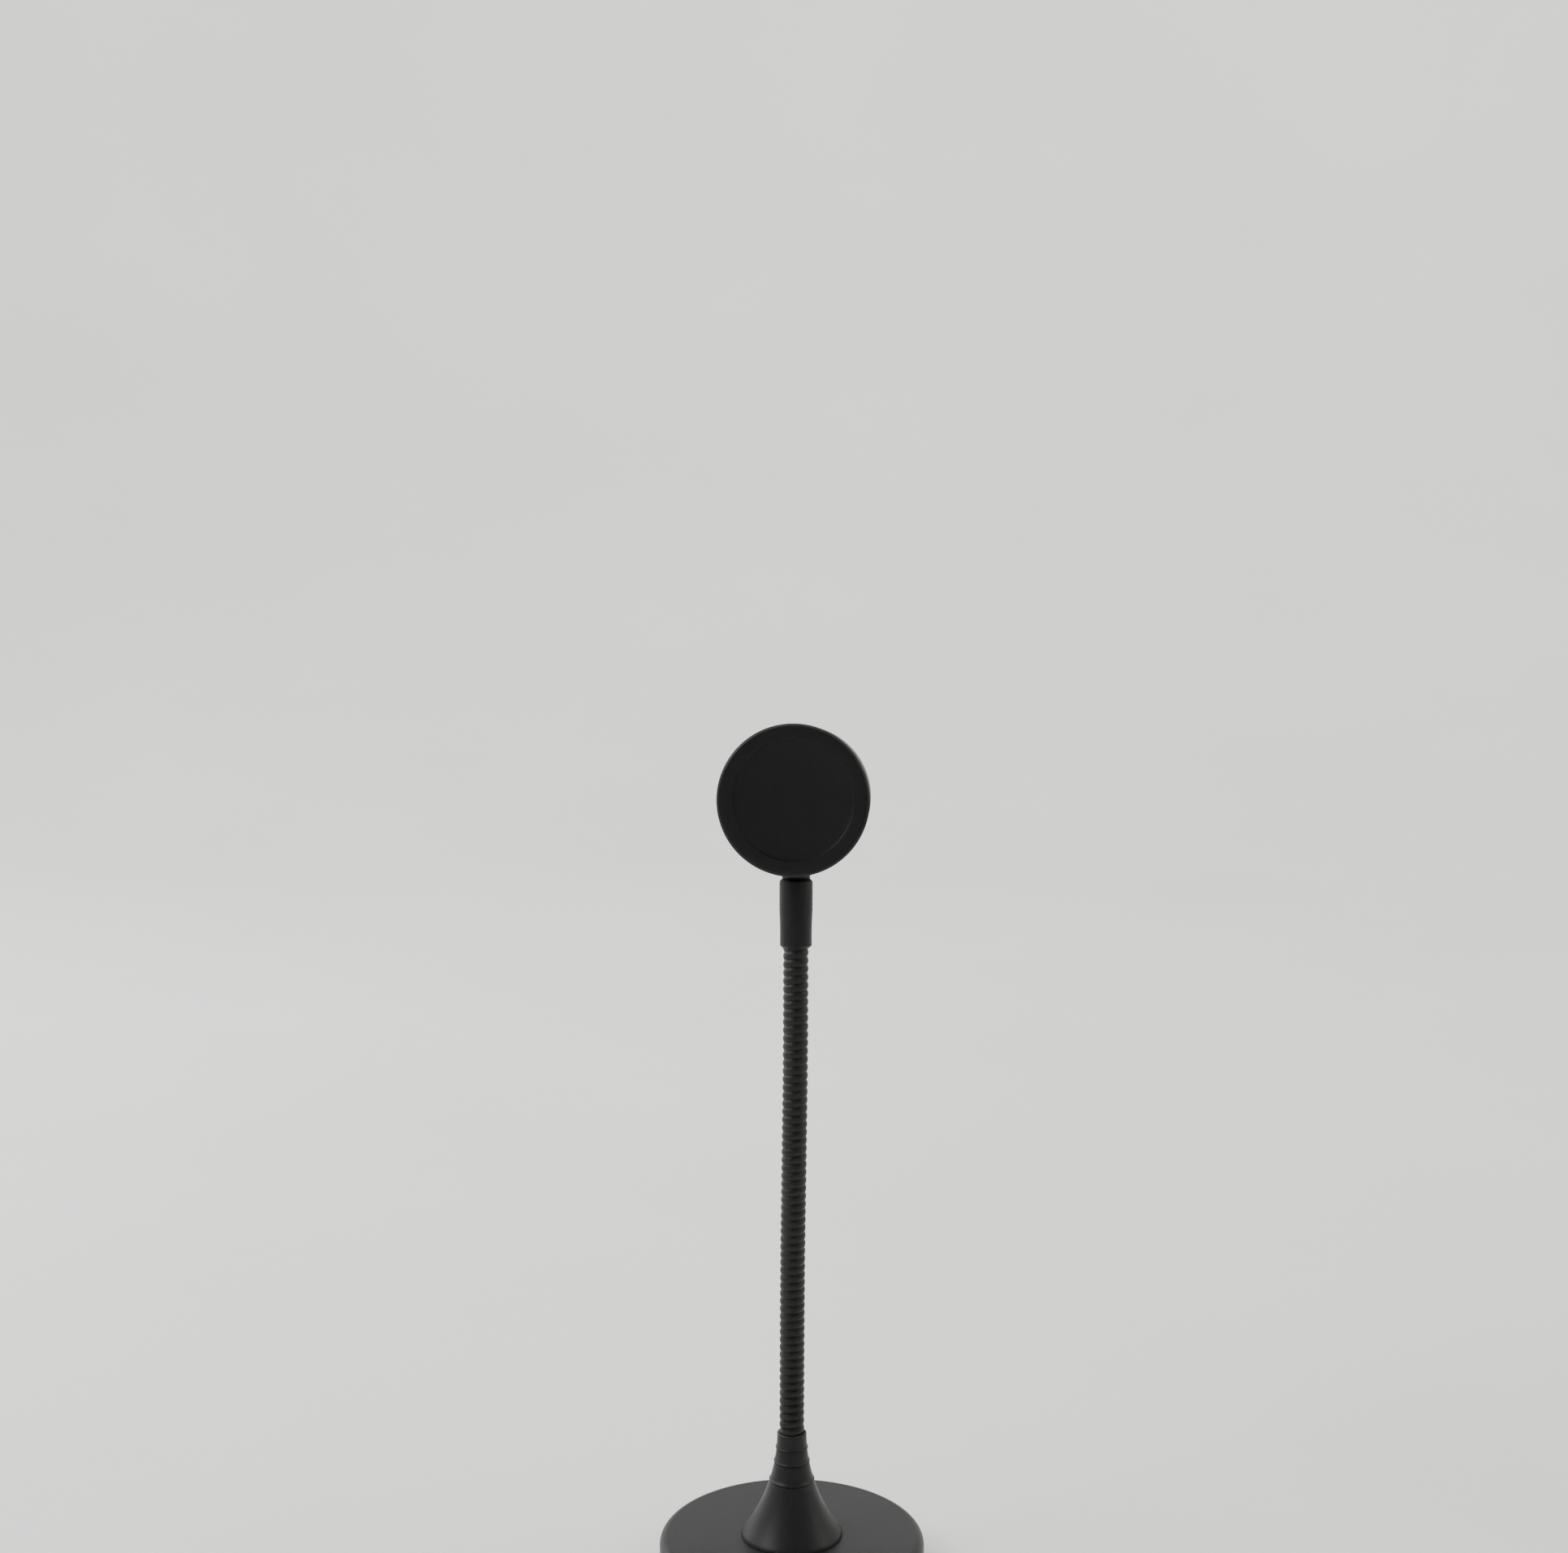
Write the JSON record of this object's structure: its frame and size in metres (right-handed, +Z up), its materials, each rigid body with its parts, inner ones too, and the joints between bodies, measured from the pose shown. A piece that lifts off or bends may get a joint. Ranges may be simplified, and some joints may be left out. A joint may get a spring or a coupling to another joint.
{
  "type": "sunset projection lamp",
  "caption": "Table lamp that projects a coloured disc of light: round weighted base, ribbed bendable gooseneck and a short cylindrical head with a domed amber lens.",
  "frame": {"origin": "centre of the base's underside, on the surface that the lamp stands on", "axes": "+Z up, the light leaves towards -Y, +X is to the left for a viewer behind the lamp"},
  "size_m": [0.09, 0.09, 0.2936],
  "materials": {
    "black_anodised": "satin black anodised, fine turned grain",
    "black_lacquer": "satin black lacquer",
    "gooseneck_metal": "semi-gloss black coated steel wire",
    "lens_glass": "polished, amber coated",
    "filter_glass": "polished, orange coated",
    "black_rubber": "matte",
    "barrel_plastic": "matte black",
    "bright_mirror": "bright polished",
    "phosphor": "matte yellow",
    "ceramic": "matte",
    "white_board": "white solder mask",
    "soft_pad": "soft matte",
    "raw_aluminium": "milled",
    "zinc_steel": "zinc plated",
    "lead_sleeve": "satin sleeve",
    "cable_jacket": "satin",
    "cast_weight": "rough cast",
    "grey_plate": "dark zinc plate",
    "foot_rubber": "fine foam",
    "green_board": "satin solder mask",
    "inlet_steel": "bright drawn",
    "black_plastic": "moulded",
    "button_plastic": "fine satin"
  },
  "bodies": {
    "base": {"neck_end_lower": "gooseneck_metal", "neck_cable": "cable_jacket", "flared_fitting": "black_lacquer", "base_cover": "black_lacquer", "base_weight": "cast_weight", "bottom_plate": "grey_plate", "foot_pad": "foot_rubber", "lock_washer": "zinc_steel", "fitting_nut": "zinc_steel", "control_board": "green_board", "power_inlet": "inlet_steel", "inlet_tongue": "black_plastic", "switch_body": "black_plastic", "button_spring": "zinc_steel", "cover_screws": "zinc_steel", "control_board_screws": "zinc_steel", "base_leads": "lead_sleeve"},
    "button": {"switch_button": "button_plastic"},
    "neck_1": {"neck_link_1": "gooseneck_metal"},
    "neck_2": {"neck_link_2": "gooseneck_metal"},
    "neck_3": {"neck_link_3": "gooseneck_metal"},
    "neck_4": {"neck_link_4": "gooseneck_metal"},
    "neck_5": {"neck_link_5": "gooseneck_metal"},
    "neck_6": {"neck_link_6": "gooseneck_metal"},
    "neck_7": {"neck_link_7": "gooseneck_metal"},
    "neck_8": {"neck_link_8": "gooseneck_metal"},
    "neck_9": {"neck_link_9": "gooseneck_metal"},
    "neck_10": {"neck_link_10": "gooseneck_metal"},
    "neck_11": {"neck_link_11": "gooseneck_metal"},
    "head": {"head_shell": "black_anodised", "rear_cap": "black_anodised", "front_bezel": "black_anodised", "lens_seal": "black_rubber", "projection_lens": "lens_glass", "colour_filter": "filter_glass", "lens_barrel": "barrel_plastic", "reflector": "bright_mirror", "led_phosphor": "phosphor", "led_chip": "ceramic", "led_board": "white_board", "thermal_pad": "soft_pad", "heat_sink": "raw_aluminium", "led_board_screws": "zinc_steel", "threaded_stem": "zinc_steel", "stem_washer": "zinc_steel", "stem_nut": "zinc_steel", "head_leads": "lead_sleeve", "upper_ferrule": "black_anodised", "neck_end_upper": "gooseneck_metal"}
  },
  "joints": [
    {"name": "bend_1", "type": "hinge", "parent": "base", "child": "neck_1", "pos_m": [0, 0, 0.05919], "axis": [1, 0, 0.0017], "range_deg": [-15, 15], "deforming": ["neck_cable"]},
    {"name": "sway_1", "type": "hinge", "parent": "neck_1", "child": "neck_2", "pos_m": [-0.00005, 0.00038, 0.07283], "axis": [0.0001, 0.9993, -0.0384], "range_deg": [-12, 12]},
    {"name": "bend_2", "type": "hinge", "parent": "neck_2", "child": "neck_3", "pos_m": [-0.0001, 0.00105, 0.08647], "axis": [1, 0, 0.0044], "range_deg": [-15, 15]},
    {"name": "sway_2", "type": "hinge", "parent": "neck_3", "child": "neck_4", "pos_m": [-0.00017, 0.00181, 0.1001], "axis": [0.0003, 0.9986, -0.0532], "range_deg": [-12, 12]},
    {"name": "bend_3", "type": "hinge", "parent": "neck_4", "child": "neck_5", "pos_m": [-0.00026, 0.0025, 0.11373], "axis": [1, 0, 0.0096], "range_deg": [-15, 15]},
    {"name": "sway_3", "type": "hinge", "parent": "neck_5", "child": "neck_6", "pos_m": [-0.00043, 0.00302, 0.12737], "axis": [0.0004, 0.9996, -0.0297], "range_deg": [-12, 12]},
    {"name": "bend_4", "type": "hinge", "parent": "neck_6", "child": "neck_7", "pos_m": [-0.00062, 0.00331, 0.14101], "axis": [0.9999, 0, 0.0131], "range_deg": [-15, 15]},
    {"name": "sway_4", "type": "hinge", "parent": "neck_7", "child": "neck_8", "pos_m": [-0.00079, 0.00331, 0.15466], "axis": [-0.0001, 0.9999, 0.0105], "range_deg": [-12, 12]},
    {"name": "bend_5", "type": "hinge", "parent": "neck_8", "child": "neck_9", "pos_m": [-0.00098, 0.00302, 0.16831], "axis": [0.9999, 0, 0.0122], "range_deg": [-15, 15]},
    {"name": "sway_5", "type": "hinge", "parent": "neck_9", "child": "neck_10", "pos_m": [-0.00112, 0.00245, 0.18194], "axis": [-0.0004, 0.9986, 0.0523], "range_deg": [-12, 12]},
    {"name": "bend_6", "type": "hinge", "parent": "neck_10", "child": "neck_11", "pos_m": [-0.00119, 0.0016, 0.19557], "axis": [1, 0, 0.0044], "range_deg": [-15, 15]},
    {"name": "sway_6", "type": "hinge", "parent": "neck_11", "child": "head", "pos_m": [-0.00124, 0.00048, 0.20917], "axis": [-0.0003, 0.996, 0.0898], "range_deg": [-12, 12]},
    {"name": "button_press", "type": "slide", "parent": "base", "child": "button", "axis": [0, 0, -1], "range_m": [0, 0.001], "stiffness_N_per_m": 400, "springref_m": -0.001, "deforming": ["button_spring"]}
  ]
}
